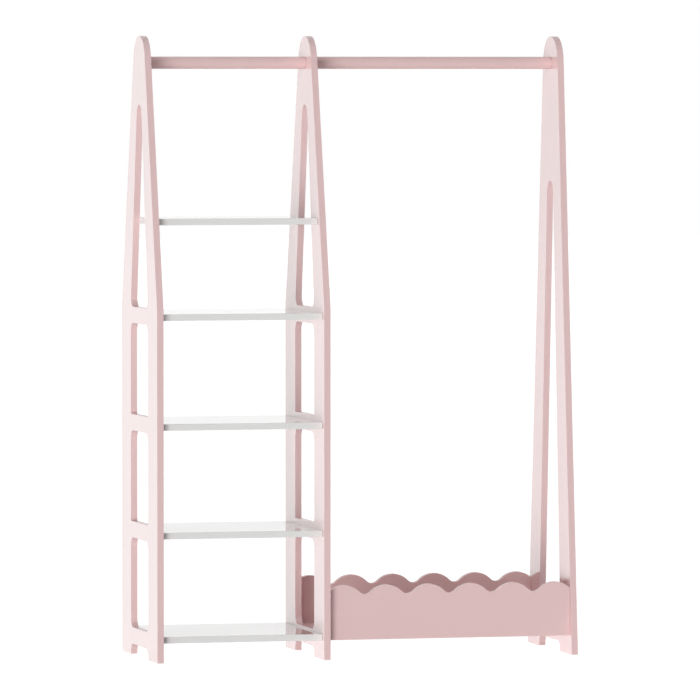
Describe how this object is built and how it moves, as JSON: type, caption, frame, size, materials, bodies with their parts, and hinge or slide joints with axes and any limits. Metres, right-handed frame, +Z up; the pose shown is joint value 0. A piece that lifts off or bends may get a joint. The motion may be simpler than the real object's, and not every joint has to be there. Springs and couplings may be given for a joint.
{
  "type": "clothes rack",
  "caption": "Child's open clothes rack: ladder and A-frame side panels joined by shelves and hanging rails, with a scalloped storage box at the foot of the wide bay.",
  "frame": {"origin": "on the floor, under the middle of the rack's bounding box", "axes": "+X to the right as seen from the front, from the shelf bay to the hanging bay; -Y the front, +Y the back; +Z up"},
  "size_m": [1, 0.38, 1.4355],
  "materials": {
    "pink_lacquer": "smooth satin lacquer on board, pale pink",
    "white_lacquer": "smooth satin lacquer on board, white",
    "zinc": "zinc-plated steel fittings",
    "beech": "plain beech dowels"
  },
  "bodies": {
    "root": {"left_panel": "pink_lacquer", "middle_panel": "pink_lacquer", "right_panel": "pink_lacquer", "shelf_1": "white_lacquer", "shelf_2": "white_lacquer", "shelf_3": "white_lacquer", "shelf_4": "white_lacquer", "shelf_5": "white_lacquer", "short_rail": "pink_lacquer", "long_rail": "pink_lacquer", "box_front": "pink_lacquer", "box_back": "pink_lacquer", "box_floor": "pink_lacquer", "left_rail_stud": "zinc", "middle_rail_stud": "zinc", "right_rail_stud": "zinc", "shelf_1_left_bolt": "zinc", "shelf_1_left_cam": "zinc", "shelf_1_left_dowel": "beech", "shelf_1_right_bolt": "zinc", "shelf_1_right_cam": "zinc", "shelf_1_right_dowel": "beech", "shelf_2_left_bolt": "zinc", "shelf_2_left_cam": "zinc", "shelf_2_left_dowel": "beech", "shelf_2_right_bolt": "zinc", "shelf_2_right_cam": "zinc", "shelf_2_right_dowel": "beech", "shelf_3_left_bolt": "zinc", "shelf_3_left_cam": "zinc", "shelf_3_left_dowel": "beech", "shelf_3_right_bolt": "zinc", "shelf_3_right_cam": "zinc", "shelf_3_right_dowel": "beech", "shelf_4_left_bolt": "zinc", "shelf_4_left_cam": "zinc", "shelf_4_left_dowel": "beech", "shelf_4_right_bolt": "zinc", "shelf_4_right_cam": "zinc", "shelf_4_right_dowel": "beech", "shelf_5_left_bolt": "zinc", "shelf_5_left_cam": "zinc", "shelf_5_left_dowel": "beech", "shelf_5_right_bolt": "zinc", "shelf_5_right_cam": "zinc", "shelf_5_right_dowel": "beech", "box_front_left_bolt": "zinc", "box_front_left_cam": "zinc", "box_front_right_bolt": "zinc", "box_front_right_cam": "zinc", "box_back_left_bolt": "zinc", "box_back_left_cam": "zinc", "box_back_right_bolt": "zinc", "box_back_right_cam": "zinc", "box_floor_left_front_dowel": "beech", "box_floor_left_back_dowel": "beech", "box_floor_right_front_dowel": "beech", "box_floor_right_back_dowel": "beech"}
  },
  "joints": []
}
